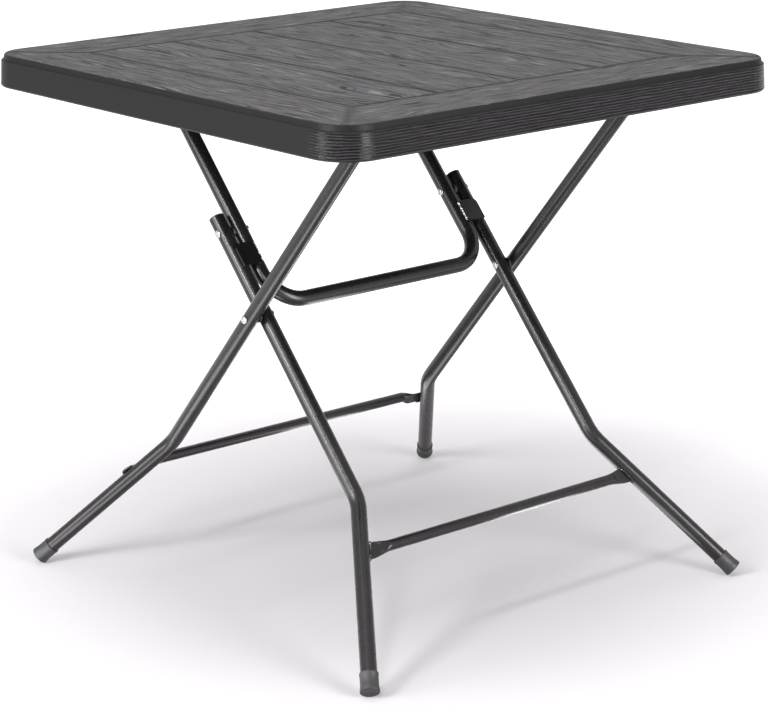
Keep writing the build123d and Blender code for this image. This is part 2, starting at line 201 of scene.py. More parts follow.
def length(name, description, default):
    """A length setting."""
    return FloatProperty(name=name, description=description, default=default, unit="LENGTH")


class TableSizes(bpy.types.PropertyGroup):
    """Sizes of what the solids leave to the looks."""

    weld_radius: length("Weld bead radius", "Half the width of a weld bead", 1.8 * MM)
    weld_pitch: length("Weld ripple pitch", "Distance between the ripples of a bead", 2.4 * MM)
    head_rim: length("Rivet head rim", "Height of the upright rim under a dome", 0.7 * MM)
    dimple_radius: length("Rivet dimple radius", "Radius of the mark in a dome", 1.7 * MM)
    foot_round: length("Foot edge radius", "Rounding of the edge of a foot's tread", 1.3 * MM)
    foot_lip: length("Foot lip", "Length of the lip round a foot's mouth", 3.2 * MM)
    recess_depth: length("Screw recess depth", "Depth of the cross in a screw head", 1.4 * MM)
    recess_reach: length("Screw recess reach", "Length of each arm of the cross", 2.5 * MM)
    recess_width: length("Screw recess width", "Half the width of each arm", 0.6 * MM)
    plate_bevel: length("Sheet edge radius", "Rounding of a stop plate's edges", 0.55 * MM)
    grain_depth: length("Grain depth", "Depth of the embossed wood grain", 0.5 * MM)
    ridge_depth: length("Skirt ridge depth", "Depth of the ridges round the skirt", 0.8 * MM)
    ridge_pitch: length("Skirt ridge pitch", "Distance between the skirt's ridges", 3.7 * MM)
    press_dip: FloatProperty(
        name="Pressing dip", description="Depth of the press mark in a bar's end, as a share",
        default=0.42, subtype="FACTOR",
    )
    turn_steps: IntProperty(
        name="Turn steps", description="Sides of a turned piece",
        default=64, min=12,
    )


def colour(name, description, hex_colour):
    """A colour setting given as sRGB hex."""
    return FloatVectorProperty(
        name=name, description=description, subtype="COLOR", size=4, default=linear(hex_colour),
        min=0, max=1,
    )


class TableColours(bpy.types.PropertyGroup):
    """Colours of the finishes."""

    top: colour("Top", "Charcoal polyethylene of the top", "#2e2b2e")
    top_zone: colour("Top zones", "Broad zones of the embossed grain", "#302e30")
    top_dark: colour("Top grain", "Deep lines of the embossed grain", "#1b191b")
    top_fleck: colour("Top flecks", "Raised fibres of the grain, rubbed pale", "#7f7c7f")
    # The skirt is the same polyethylene as the top, painted much darker: painted shade of the
    # walls, which face away from the light
    skirt: colour("Skirt", "Charcoal polyethylene of the skirt", "#0f0e0f")
    # Painted shade in the grooves between the skirt's ridges
    painted_groove_shade: colour("Skirt grooves", "Grooves between the skirt's ridges", "#060506")
    # Painted highlight on the crests of the skirt's ridges, standing in for glints of light on
    # them
    ridge: colour("Skirt ridges", "Rubbed crests of the skirt's ridges", "#302d30")
    frame: colour("Frame", "Charcoal powder coat of the tubes", "#151315")
    steel: colour("Bare steel", "Steel where the coat is worn off a weld", "#d6d6d8")
    plate: colour("Stop plates", "Black powder coat of the stop plates", "#0c0c0d")
    rubber: colour("Rubber", "Black rubber of the feet", "#1f1e20")
    dust: colour("Dust", "Pale dust on the treads of the feet", "#5a5a58")
    plastic: colour("Plug plastic", "Black plastic of plugs and washers", "#151416")
    plastic_flow: colour("Plug flow marks", "Paler flow marks in the plug plastic", "#242426")
    zinc: colour("Zinc", "Bright zinc on the rivets", "#a9a8aa")
    strap: colour("Straps", "Dull zinc on straps and screws", "#a9abae")
    floor: colour("Floor", "Pale studio floor", "#edebed")


def sizes():
    """The scene's size settings."""
    return bpy.context.scene.card_table_sizes


def paint(name):
    """One of the scene's colour settings, as a list."""
    return list(getattr(bpy.context.scene.card_table_colours, name))


# Node helpers


def add(tree, kind, inputs=None, **settings):
    """Adds a shader node, sets its properties and fills its sockets with values or links."""
    node = tree.nodes.new("ShaderNode" + kind)
    for name, value in settings.items():
        setattr(node, name, value)
    for key, value in (inputs or {}).items():
        if isinstance(value, bpy.types.Node):
            value = value.outputs[0]
        if isinstance(value, bpy.types.NodeSocket):
            tree.links.new(value, node.inputs[key])
        else:
            node.inputs[key].default_value = value
    return node


def maths(tree, operation, *values):
    """Output of a Math node on up to three values."""
    node = add(tree, "Math", dict(enumerate(values)), operation=operation)
    return node.outputs[0]


def times(tree, *values):
    """Product of values."""
    product = values[0]
    for value in values[1:]:
        product = maths(tree, "MULTIPLY", product, value)
    return product


def scaled(tree, value, scale, offset):
    """Value times a scale, plus an offset."""
    return maths(tree, "MULTIPLY_ADD", value, scale, offset)


def complement(tree, value):
    """One less a value."""
    return maths(tree, "SUBTRACT", 1.0, value)


def ramp(tree, value, low, high, start=0.0, end=1.0):
    """Value taken from low..high to start..end, clamped and smoothed."""
    node = add(
        tree, "MapRange",
        {"Value": value, "From Min": low, "From Max": high, "To Min": start, "To Max": end},
        interpolation_type="SMOOTHSTEP",
    )
    return node.outputs["Result"]


def blend_colour(tree, factor, first, second):
    """Colour between two colours."""
    node = add(tree, "Mix", {"Factor": factor, "A": first, "B": second}, data_type="RGBA")
    return node.outputs["Result"]


def new_material(name):
    """Empty node material, and its tree."""
    material = bpy.data.materials.new(name)
    material.use_nodes = True
    tree = material.node_tree
    tree.nodes.clear()
    return material, tree


def close_material(material, inputs):
    """The material, with a Principled shader on the given sockets led to its output."""
    tree = material.node_tree
    add(tree, "OutputMaterial", {"Surface": add(tree, "BsdfPrincipled", inputs)})
    return material


def millimetres(tree):
    """Object coordinates in millimetres, as a vector and as X, Y and Z."""
    place = add(tree, "TexCoord").outputs["Object"]
    large = add(tree, "VectorMath", {0: place, "Scale": 1 / MM}, operation="SCALE").outputs[0]
    return large, *add(tree, "SeparateXYZ", {0: large}).outputs


def noise(tree, vector, scale, detail=2.0, roughness=0.5):
    """Noise value with its grain set by a scale per millimetre."""
    node = add(
        tree, "TexNoise",
        {"Vector": vector, "Scale": scale, "Detail": detail, "Roughness": roughness},
    )
    return node.outputs["Fac"]


def stretched_noise(tree, lengths, values, detail=2.0, roughness=0.5):
    """Noise of three values, each with its own length in millimetres."""
    place = add(tree, "CombineXYZ", {
        index: maths(tree, "DIVIDE", value, length)
        for index, (value, length) in enumerate(zip(values, lengths))
    })
    return noise(tree, place, 1.0, detail, roughness)


def relief(tree, height, depth):
    """Normal of a surface raised by height times depth."""
    return add(tree, "Bump", {"Height": height, "Distance": depth}).outputs[0]


def dress(material, *nodes):
    """Gives CAD nodes a material in all their slots."""
    for name in nodes:
        slots = frame["nodes"][name].data.materials
        if not slots:
            slots.append(material)
        for index in range(len(slots)):
            slots[index] = material


def round_edges(*nodes):
    """Rounds the sheared edges of CAD nodes cut from sheet."""
    for name in nodes:
        rounding = frame["nodes"][name].modifiers.new("sheet edge", "BEVEL")
        rounding.width = sizes().plate_bevel
        rounding.segments = 3
        rounding.limit_method = "ANGLE"
        rounding.angle_limit = math.radians(50)


# Materials


def board_coordinates(tree, x, y, reach_x, reach_y):
    """Distance across a board, along it, a number for each board, and nearness to a joint.

    Boards of the field and of the two borders beside it run along Y. The other two borders run
    along X and meet them on the diagonals. Nearness is the distance in millimetres to the
    closest joint line: of the planks, round the field, or on a diagonal.
    """
    field = (HALF_SIDE - BORDER_BOARD) / MM
    pitch = PLANK_WIDTH / MM
    widest = maths(tree, "MAXIMUM", reach_x, reach_y)
    in_border = maths(tree, "GREATER_THAN", widest, field)
    turned = times(tree, in_border, maths(tree, "GREATER_THAN", reach_y, reach_x))
    kept = complement(tree, turned)
    across = scaled(tree, x, kept, times(tree, y, turned))
    along = scaled(tree, y, kept, times(tree, x, turned))
    plank = maths(tree, "FLOOR", maths(tree, "DIVIDE", x, pitch))
    side = times(tree, maths(tree, "SIGN", y), turned, BORDER_NUMBER)
    board = scaled(tree, plank, kept, side)
    to_edge = maths(tree, "ABSOLUTE", maths(tree, "SUBTRACT", widest, field))
    off_mitre = maths(tree, "ABSOLUTE", maths(tree, "SUBTRACT", reach_x, reach_y))
    to_mitre = times(tree, off_mitre, math.sqrt(0.5))
    joint = times(tree, maths(tree, "ROUND", maths(tree, "DIVIDE", reach_x, pitch)), pitch)
    to_plank = maths(tree, "ABSOLUTE", maths(tree, "SUBTRACT", reach_x, joint))
    field_joint = times(tree, to_plank, complement(tree, in_border))
    near = maths(tree, "MINIMUM", to_edge, scaled(tree, to_mitre, in_border, field_joint))
    return across, along, board, near


def wood_grain(tree, across, along, board):
    """Height of the grain from 0 to 1, its dark pores, and the noises of rings and pores."""
    seed = times(tree, board, BOARD_SEED)
    drift = stretched_noise(tree, GRAIN_DRIFT, (across, along, seed), 1.5)
    bent = scaled(tree, drift, DRIFT_REACH, across)
    place = (bent, along, seed)
    fibres = stretched_noise(tree, GRAIN_FIBRES, place, 3.0, 0.62)
    pores = stretched_noise(tree, GRAIN_PORES, place, 2.0, 0.6)
    rings = stretched_noise(tree, GRAIN_RINGS, place, 2.0, 0.6)
    pore = ramp(tree, pores, 0.53, 0.64)
    ring_height = times(tree, ramp(tree, rings, 0.35, 0.65), 0.45)
    height = scaled(tree, ramp(tree, fibres, 0.3, 0.7), 0.55, ring_height)
    height = maths(tree, "SUBTRACT", height, times(tree, pore, 0.5))
    return height, pore, rings, pores


def skirt_ridges(tree, x, y, z, reach_x, reach_y):
    """Height of the level ridges round the skirt, and how strong they are at a place.

    They are a few millimetres apart and run level. The two walls that the planks run beside
    were left smooth in the tool, up to the turn of their front corners.
    """
    around = maths(tree, "SUBTRACT", x, y)
    place = (around, 0.0, z)
    wander = stretched_noise(tree, RIDGE_WANDER, place, 2.0, 0.6)
    level = scaled(tree, wander, WANDER_REACH, z)
    turn = times(tree, level, 2 * math.pi / sizes().ridge_pitch * MM)
    lines = scaled(tree, maths(tree, "SINE", turn), 0.5, 0.5)
    broken = stretched_noise(tree, RIDGE_BREAKS, place)
    edge = HALF_SIDE / MM
    corner = ramp(tree, times(tree, y, -1.0), *(edge - inset for inset in CORNER_RIDGES))
    ridged_wall = complement(tree, maths(tree, "GREATER_THAN", reach_x, reach_y))
    reach = maths(tree, "MAXIMUM", reach_x, reach_y)
    on_wall = ramp(tree, reach, *(edge - inset for inset in WALL_RIDGES))
    strength = times(
        tree, maths(tree, "MAXIMUM", corner, ridged_wall), on_wall,
        ramp(tree, broken, 0.25, 0.6, 0.35, 1.0),
    )
    return ramp(tree, lines, 0.3, 0.95), strength


def moulded_top():
    """Polyethylene, blow moulded in a tool with an etched wood grain.

    Satin charcoal. Dark pores and pale rubbed flecks run along each board, joints sit in a soft
    dark band, and level ridges round the skirt catch thin bright lines. The skirt is painted much
    darker than the face as painted shade of its walls, with painted shade in the grooves between
    its ridges and a painted highlight on their crests.
    """
    material, tree = new_material("Polyethylene, blow moulded with embossed grain")
    place, x, y, z = millimetres(tree)
    reach = maths(tree, "ABSOLUTE", x), maths(tree, "ABSOLUTE", y)
    across, along, board, near = board_coordinates(tree, x, y, *reach)
    height, pore, rings, pores = wood_grain(tree, across, along, board)
    ridges, ridge_strength = skirt_ridges(tree, x, y, z, *reach)
    top, shoulder, bottom = TABLE_HEIGHT / MM, SHOULDER_LEVEL / MM, SKIRT_BOTTOM / MM
    on_face = ramp(tree, z, top - 0.8, top - 0.3)
    on_skirt = times(
        tree, ramp(tree, z, shoulder - 1.6, shoulder - 1.0, 1.0, 0.0),
        ramp(tree, z, bottom + 1.5, bottom + 3.0),
    )
    ridged = times(tree, on_skirt, ridge_strength)
    # Relief of grain and ridges over a faint skin, in millimetres
    grain_height = times(tree, height, on_face, sizes().grain_depth / MM)
    ridge_height = times(tree, ridges, ridged, sizes().ridge_depth / MM)
    carved = maths(tree, "ADD", grain_height, ridge_height)
    total = scaled(tree, noise(tree, place, 0.25), 0.03, carved)
    # Zones of earlier and later wood, then the pores in them, then the flecks between
    zone = ramp(tree, rings, 0.36, 0.64, 0.0, 0.8)
    face = blend_colour(tree, zone, paint("top"), paint("top_zone"))
    face = blend_colour(tree, times(tree, pore, 0.85), face, paint("top_dark"))
    fleck = times(tree, ramp(tree, pores, 0.42, 0.30), 0.6)
    face = blend_colour(tree, fleck, face, paint("top_fleck"))
    # Dark bands of uneven width along the joints
    wobble = scaled(tree, noise(tree, place, 0.05), 9.0, 3.0)
    band = ramp(tree, maths(tree, "DIVIDE", near, wobble), 0.35, 1.25, 0.95, 0.0)
    face = blend_colour(tree, band, face, paint("top_dark"))
    # The skirt, painted darker as painted shade, with painted shade in its grooves and painted
    # highlights on its crests
    # Everything below the face takes the skirt colour, which is painted shade
    tint = blend_colour(tree, on_face, paint("skirt"), face)
    low = times(tree, complement(tree, ridges), ridged, 0.95)
    high = times(tree, ridges, ridged, 0.9)
    # Painted shade in the grooves between the ridges
    tint = blend_colour(tree, low, tint, paint("painted_groove_shade"))
    # Painted highlight on the crests of the ridges
    tint = blend_colour(tree, high, tint, paint("ridge"))
    rough = scaled(tree, times(tree, pore, on_face), 0.3, 0.47)
    return close_material(material, {
        "Base Color": tint,
        "Roughness": maths(tree, "SUBTRACT", rough, times(tree, ridged, 0.29)),
        "Normal": relief(tree, total, MM),
        "IOR": 1.5,
        "Specular IOR Level": 0.15,
    })


def powder_coat(name, tone, roughness, peel):
    """Polyester powder baked on steel tube.

    Half gloss over a fine metallic pigment, with the faint orange peel of the cured film, so
    each tube carries a long bright streak with slightly uneven edges.
    """
    material, tree = new_material(name)
    place = millimetres(tree)[0]
    orange_peel = noise(tree, place, 0.12, 1.0)
    cloud = noise(tree, place, 0.03)
    lighter = [min(1.0, channel * 1.3) for channel in tone[:3]] + [1.0]
    spread = 0.02
    return close_material(material, {
        "Base Color": blend_colour(tree, ramp(tree, cloud, 0.35, 0.65), tone, lighter),
        "Metallic": 0.15,
        "Roughness": ramp(tree, orange_peel, 0.3, 0.7, roughness - spread, roughness + spread),
        "Normal": relief(tree, orange_peel, peel),
        "IOR": 1.5,
        "Specular IOR Level": 0.4,
    })


def moulded_rubber():
    """EPDM rubber, compression moulded.

    Nearly black with a dull shine from a fine spark-eroded skin, and pale dust on the tread.
    """
    material, tree = new_material("EPDM rubber, compression moulded")
    place, _, _, z = millimetres(tree)
    skin = noise(tree, place, 0.9, 3.0, 0.6)
    dust = times(tree, ramp(tree, z, 0.5, 6.0, 0.4, 0.0), ramp(tree, skin, 0.45, 0.6))
    return close_material(material, {
        "Base Color": blend_colour(tree, dust, paint("rubber"), paint("dust")),
        "Roughness": ramp(tree, skin, 0.3, 0.7, 0.42, 0.58),
        "Normal": relief(tree, skin, 0.12 * MM),
    })


def moulded_plug():
    """Polyethylene, injection moulded: black and satin, with a faint flow texture."""
    material, tree = new_material("Polyethylene, injection moulded")
    place = millimetres(tree)[0]
    flow = noise(tree, place, 0.8)
    return close_material(material, {
        "Base Color": blend_colour(tree, flow, paint("plastic"), paint("plastic_flow")),
        "Roughness": ramp(tree, flow, 0.3, 0.7, 0.34, 0.46),
        "Normal": relief(tree, flow, 0.05 * MM),
    })


def zinc_plate(name, tone, roughness, cloud_size):
    """Zinc electroplated on steel: pale and bright, softly clouded, with fine working marks."""
    material, tree = new_material(name)
    place = millimetres(tree)[0]
    cloud = noise(tree, place, 1 / cloud_size)
    marks = noise(tree, place, 1.8)
    darker = [channel * 0.7 for channel in tone[:3]] + [1.0]
    return close_material(material, {
        "Base Color": blend_colour(tree, ramp(tree, cloud, 0.35, 0.7), tone, darker),
        "Metallic": 0.6,
        "Roughness": ramp(tree, cloud, 0.3, 0.7, roughness - 0.05, roughness + 0.1),
        "Normal": relief(tree, marks, 0.05 * MM),
    })


def coated_weld(name, bare_from):
    """Powder coat over weld ripples: bare steel glints where the wear passes a share."""
    material, tree = new_material(name)
    place = millimetres(tree)[0]
    wear = noise(tree, place, 0.55, 3.0, 0.65)
    bare = ramp(tree, wear, bare_from, bare_from + 0.08)
    return close_material(material, {
        "Base Color": blend_colour(tree, bare, paint("frame"), paint("steel")),
        "Metallic": bare,
        "Roughness": ramp(tree, wear, 0.3, 0.7, 0.42, 0.25),
        "Normal": relief(tree, wear, 0.5 * MM),
    })


# Mesh helpers


def place_object(name, data):
    """New object in the scene."""
    item = bpy.data.objects.new(name, data)
    bpy.context.scene.collection.objects.link(item)
    return item


def make_piece(name, surfaces, material, body, replaced=()):
    """Mesh object from surfaces, smooth shaded with sharp edges kept, riding on a body."""
    points, faces, first = [], [], 0
    for surface_points, surface_faces in surfaces:
        points.append(surface_points)
        faces += [tuple(int(index) + first for index in face) for face in surface_faces]
        first += len(surface_points)
    mesh = bpy.data.meshes.new(name)
    mesh.from_pydata(np.concatenate(points).tolist(), [], faces)
    mesh.validate()
    mesh.shade_smooth()
    mesh.set_sharp_from_angle(angle=math.radians(40))
    mesh.materials.append(material)
    piece = place_object(name, mesh)
    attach(piece, body)
    if replaced:
        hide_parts(*replaced)


def sides(node):
    """Names of a node's left and right copies."""
    return f"{node}_left", f"{node}_right"


def full_turn(count):
    """Angles from 0 up to 2 pi, which is left out."""
    return np.linspace(0, 2 * math.pi, count, endpoint=False)


def flipped(faces):
    """Faces that look the other way."""
    return [list(face)[::-1] for face in faces]


def grid_faces(rows, columns, wrap):
    """Quads of a grid of points numbered row by row. Rows are closed, and the grid if it wraps."""
    row, column = np.arange(rows if wrap else rows - 1), np.arange(columns)
    i, j = np.meshgrid(row, column, indexing="ij")
    i2, j2 = (i + 1) % rows, (j + 1) % columns
    quads = np.stack([i * columns + j, i2 * columns + j, i2 * columns + j2, i * columns + j2], -1)
    return quads.reshape(-1, 4).tolist()


def tube_surface(rings, wrap=False):
    """Closed surface through rings of points, with a flat cap on either end unless it wraps."""
    rows, columns = rings.shape[:2]
    faces = grid_faces(rows, columns, wrap)
    if not wrap:
        last = (rows - 1) * columns
        faces += [list(range(columns)), list(range(last + columns - 1, last - 1, -1))]
    return rings.reshape(-1, 3), faces


def turned(profile, origin, axis, ring=False):
    """Surface of revolution.

    Each profile point (h, r) gives a circle: origin + h axis + r (cos a side + sin a third), with
    a from 0 to 2 pi. An open profile starts and ends on the axis, where the circle is one point.
    A ring's profile closes on itself instead.
    """
    axis = unit(axis)
    side = unit(np.cross(axis, [0.31, 0.52, 0.79]))
    third = np.cross(axis, side)
    count = sizes().turn_steps
    angle = full_turn(count)
    spoke = np.cos(angle)[:, None] * side + np.sin(angle)[:, None] * third
    heights, radii = np.array(profile).T
    rings = origin + heights[:, None, None] * axis + radii[:, None, None] * spoke
    if ring:
        return rings.reshape(-1, 3), flipped(grid_faces(len(profile), count, True))
    rings, poles = rings[1:-1], origin + heights[[0, -1], None] * axis
    points = np.concatenate([rings.reshape(-1, 3), poles])
    rows = len(profile) - 2
    low, high = rows * count, rows * count + 1
    faces = flipped(grid_faces(rows, count, False))
    for j in range(count):
        k = (j + 1) % count
        faces.append([low, k, j])
        faces.append([high, (rows - 1) * count + j, (rows - 1) * count + k])
    return points, faces


def arc(height, radius, reach_h, reach_r, start, end, steps=6):
    """Points of a profile on an ellipse: (height + reach_h sin a, radius + reach_r cos a)."""
    angle = np.radians(np.linspace(start, end, steps + 1))
    return [(height + reach_h * math.sin(a), radius + reach_r * math.cos(a)) for a in angle]


def both(surface):
    """A surface and its mirror image, with its faces turned to point outwards."""
    points, faces = surface
    return [surface, (points * MIRROR, flipped(faces))]


def bead(path, outward, closed=False, radius=None, lump=0.13):
    """A weld bead laid along a path.

    At a share s of the path the bead is a circle square to it, of radius R (1 + lump
    sin(2 pi n s) + lump sin(2 pi m s) / 2), with n ripples and m slower swells. An open bead's
    radius falls to a tenth at its ends as a quarter of a circle does.
    """
    size = radius or sizes().weld_radius
    if closed:
        tangent = np.roll(path, -1, axis=0) - np.roll(path, 1, axis=0)
    else:
        tangent = np.gradient(path, axis=0)
    tangent /= np.linalg.norm(tangent, axis=1, keepdims=True)
    first = outward - (outward * tangent).sum(1, keepdims=True) * tangent
    first /= np.linalg.norm(first, axis=1, keepdims=True)
    second = np.cross(tangent, first)
    steps = np.linalg.norm(np.diff(path, axis=0), axis=1)
    length = np.concatenate([[0.0], np.cumsum(steps)])
    total = length[-1] + (np.linalg.norm(path[0] - path[-1]) if closed else 0.0)
    ripples = max(round(total / sizes().weld_pitch), 3)
    swells = round(ripples * 0.37 + 1)
    turn = 2 * math.pi * length / total
    width = size * (1 + lump * np.sin(ripples * turn) + lump / 2 * np.sin(swells * turn))
    if not closed:
        end = np.clip(np.minimum(length, total - length) / (1.2 * size), 0, 1)
        width = width * np.maximum(np.sqrt(1 - (1 - end) ** 2), 0.1)
    angle = full_turn(12)
    spoke = np.cos(angle)[:, None] * first[:, None] + np.sin(angle)[:, None] * second[:, None]
    return tube_surface(path[:, None] + width[:, None, None] * spoke, closed)


# How far a hinge tube's welds run round the leg, either way, in radians
WELD_TURN = 0.78


def tee_beads(hinge, down, normal, offset):
    """Beads on both sides of a leg where it meets its hinge tube.

    For an angle a round the leg, the point lies R cos a across the table, R sin a off the
    frame's plane, and sqrt(R^2 - (R sin a)^2) below the hinge axis: on both tubes at once.
    The beads stop 45 degrees either side, so they stay clear of the top when it is folded.
    """
    surfaces = []
    for middle in (0.0, math.pi):
        angle = middle + np.linspace(-WELD_TURN, WELD_TURN, 60)
        below = TUBE_RADIUS * np.sqrt(1.0 - np.sin(angle) ** 2)
        outward = np.cos(angle)[:, None] * ACROSS + np.sin(angle)[:, None] * normal
        path = hinge + offset * ACROSS + TUBE_RADIUS * outward + below[:, None] * down
        surfaces.append(bead(path, outward + 0.7 * down))
    return surfaces


# Turned pieces


def rivet_dome(base, height, sign):
    """Profile of a rivet head: an upright rim, a dome and a shallow setting mark on its top."""
    rim = sizes().head_rim * min(1.0, height / (3.5 * MM))
    dimple = sizes().dimple_radius
    dome = arc(0, 0, height - rim, RIVET_HEAD_RADIUS, 0, 72, 10)
    points = [(rim + h, r) for h, r in dome if r > dimple]
    top = points[-1][0]
    for depth, share in ((0.25 * MM, 0.8), (0.45 * MM, 0.4), (0.5 * MM, 0.0)):
        points.append((top - depth, dimple * share))
    points = [(0.0, RIVET_HEAD_RADIUS - 0.15 * MM), (0.2 * MM, RIVET_HEAD_RADIUS)] + points
    return [(base + sign * h, r) for h, r in points]


def rivet(start, end, inner_height, outer_height, origin):
    """Rivet along X: inner head, shank and outer head. A height of zero leaves a head out."""
    inner = rivet_dome(start, inner_height, -1)[::-1] if inner_height else [(start, 0.0)]
    outer = rivet_dome(end, outer_height, 1) if outer_height else [(end, 0.0)]
    shank = [(start, RIVET_RADIUS), (end, RIVET_RADIUS)]
    return turned(inner + shank + outer, origin, ACROSS)


def ring(start, end, hole, radius, edge, origin):
    """Flat ring along X with rounded outer edges."""
    profile = [(start, hole)] + arc(start + edge, radius - edge, edge, edge, -90, 0, 4)
    profile += arc(end - edge, radius - edge, edge, edge, 0, 90, 4) + [(end, hole)]
    return turned(profile, origin, ACROSS, True)


def rubber_foot(leg):
    """Rubber cap: a rounded tread, a flare up to the neck, and a thicker lip round its mouth."""
    edge = sizes().foot_round
    lip = sizes().foot_lip
    bore = TUBE_RADIUS + SEAT_GAP
    neck = FOOT_NECK_RADIUS - 0.35 * MM
    rim = 0.8 * MM
    mouth = -FOOT_LENGTH
    profile = [(-0.4 * MM, 0.0), (-0.4 * MM, 6.0 * MM), (0.0, 7.5 * MM)]
    profile += arc(-edge, FOOT_END_RADIUS - edge, edge, edge, 90, 0)
    profile += [(-FOOT_FLARE, neck + 0.1 * MM), (-FOOT_FLARE - 1.5 * MM, neck)]
    profile += [(mouth + lip + 0.6 * MM, neck), (mouth + lip, FOOT_NECK_RADIUS)]
    profile += arc(mouth + rim, FOOT_NECK_RADIUS - rim, rim, rim, 0, -90, 4)
    profile += [(mouth, bore), (-FOOT_FLOOR, bore), (-FOOT_FLOOR, 0.0)]
    return turned(profile[::-1], leg.end, leg.axis)


def stub_plug():
    """Plug in the upper end of an inner leg, its head rounded over the tube's end."""
    edge = 0.9 * MM
    profile = [(-PLUG_DEPTH, 0.0), (-PLUG_DEPTH, PLUG_RADIUS), (SEAT_GAP, PLUG_RADIUS)]
    profile += [(SEAT_GAP, TUBE_RADIUS)]
    profile += arc(2.05 * MM - edge, TUBE_RADIUS - edge, edge, edge, 0, 90)
    profile += [(1.95 * MM, TUBE_RADIUS * 0.45), (1.9 * MM, 0.0)]
    top = on_inner(INNER_LEG_OFFSET, -PROP_PIVOT_UP - STUB)
    return turned(profile, top, -INNER_DOWN)


def tube_plug(end, origin):
    """Disc plug flush with the end of a hinge tube, rounded at its rim and slightly hollow."""
    edge = 0.6 * MM
    profile = [(end - PLUG_DEPTH, 0.0), (end - PLUG_DEPTH, PLUG_RADIUS)]
    profile += arc(end - edge, PLUG_RADIUS - edge, edge, edge, 0, 90, 4)
    profile += [(end - 0.3 * MM, PLUG_RADIUS * 0.5), (end - 0.4 * MM, 0.0)]
    return turned(profile, origin, ACROSS)


def screw_head(x, y):
    """Pan head under a strap flange with a cross recess.

    The head hangs below its seat by h(r) = H sqrt(1 - (r/R)^2 0.8), less the recess depth where
    |x| or |y| is under the arm's half width and the other under its reach.
    """
    seat = PANEL_UNDERSIDE - 0.1 * MM - STRAP_SHEET
    radius, height = 4.3 * MM, 2.5 * MM
    reach, width, depth = sizes().recess_reach, sizes().recess_width, sizes().recess_depth
    count = 64
    angle = full_turn(count)
    radii = np.linspace(radius, radius / 24, 24)
    px, py = radii[:, None] * np.cos(angle), radii[:, None] * np.sin(angle)
    cross = np.minimum(np.abs(px), np.abs(py)) / width
    ends = np.clip((reach - radii)[:, None] / (0.35 * MM), 0, 1)
    arm = np.clip((1.25 - cross) / 0.5, 0, 1) * ends
    hang = height * np.sqrt(1 - 0.8 * (radii[:, None] / radius) ** 2) - depth * arm
    rings = np.stack([x + px, y + py, seat - hang], -1)
    rim = np.stack([x + px[0], y + py[0], np.full(count, seat)], -1)
    points, faces = tube_surface(np.concatenate([rim[None], rings]))
    return points, flipped(faces)


# Pressed crossbars

# Where the pressing of a bar starts, and how long it takes to reach the flat
OUTER_PRESSING = (242.0 * MM, 18.0 * MM)
INNER_PRESSING = (204.0 * MM, 34.0 * MM)


def pressed_rings(stations, place, slope=0.0):
    """Sections of a crossbar, round in the middle and pressed flat at its ends.

    A station is (x, drop, half width a, half thickness b, lift, exponent n, dip d, lean). Its
    section is the curve (a c^(2/n), b s^(2/n) (1 - d (1 - c^2))), with c and s the cosine and
    sine of an angle, each power keeping its sign. The lean, from 0 to 1, is how much the section
    follows the slope of the leg.
    """
    angle = full_turn(72)
    c, s = np.cos(angle), np.sin(angle)
    rings = []
    for x, drop, a, b, lift, n, dip, lean in stations:
        wide = a * np.sign(c) * np.abs(c) ** (2 / n)
        thick = b * np.sign(s) * np.abs(s) ** (2 / n) * (1 - dip * (1 - c**2))
        rings.append(place(x + lean * wide * slope, drop + wide, lift + thick))
    return np.array(rings)


def inner_leg_wall(drop):
    """Distance from the middle of the table to an inner leg's inner wall, down the leg."""
    return INNER_LEG.axis_x(drop) - TUBE_RADIUS / math.cos(INNER_LEG.angle)


def pressing_at(x, start, length, thickness):
    """How far a bar is pressed at a place, its half width, its half thickness and its dip.

    The first rises from 0 to 1 as 3 t^2 - 2 t^3, with t the share of the length.
    """
    t = min(max((x - start) / length, 0.0), 1.0)
    share = t * t * (3 - 2 * t)
    a = BAR_RADIUS + share * (FLAT_WIDTH / 2 - BAR_RADIUS)
    b = BAR_RADIUS + share * (thickness / 2 - BAR_RADIUS)
    return share, a, b, sizes().press_dip * 4 * share * (1 - share)


def outer_bar_surface():
    """Crossbar behind the outer legs, from one tongue's tip to the other."""
    tip = float(OUTER_LEG.axis_x(OUTER_BAR_DROP)) + 6.6 * MM
    thickness = 3.0 * MM
    round_lift = TUBE_RADIUS + 0.6 * MM + BAR_RADIUS
    flat_lift = TUBE_RADIUS + SEAT_GAP + thickness / 2
    nose = tip - FLAT_WIDTH / 2
    ends = nose + FLAT_WIDTH / 2 * np.sin(np.radians(np.linspace(8, 89, 12)))
    pressing = np.linspace(240 * MM, 262 * MM, 16)
    half = []
    for x in np.concatenate([[0, 120 * MM, 232 * MM], pressing, [270 * MM], ends]):
        share, a, b, dip = pressing_at(x, *OUTER_PRESSING, thickness)
        beyond = max(x - nose, 0) / (FLAT_WIDTH / 2)
        a = max(a * math.sqrt(max(1 - beyond**2, 0)), 0.6 * MM)
        lift = round_lift + share * (flat_lift - round_lift)
        half.append((x, OUTER_BAR_DROP, a, b, lift, 2 + 5 * share, dip, 0.0))
    left = [(-station[0], *station[1:]) for station in half[:0:-1]]
    return tube_surface(pressed_rings(left + half, on_outer)[::-1])


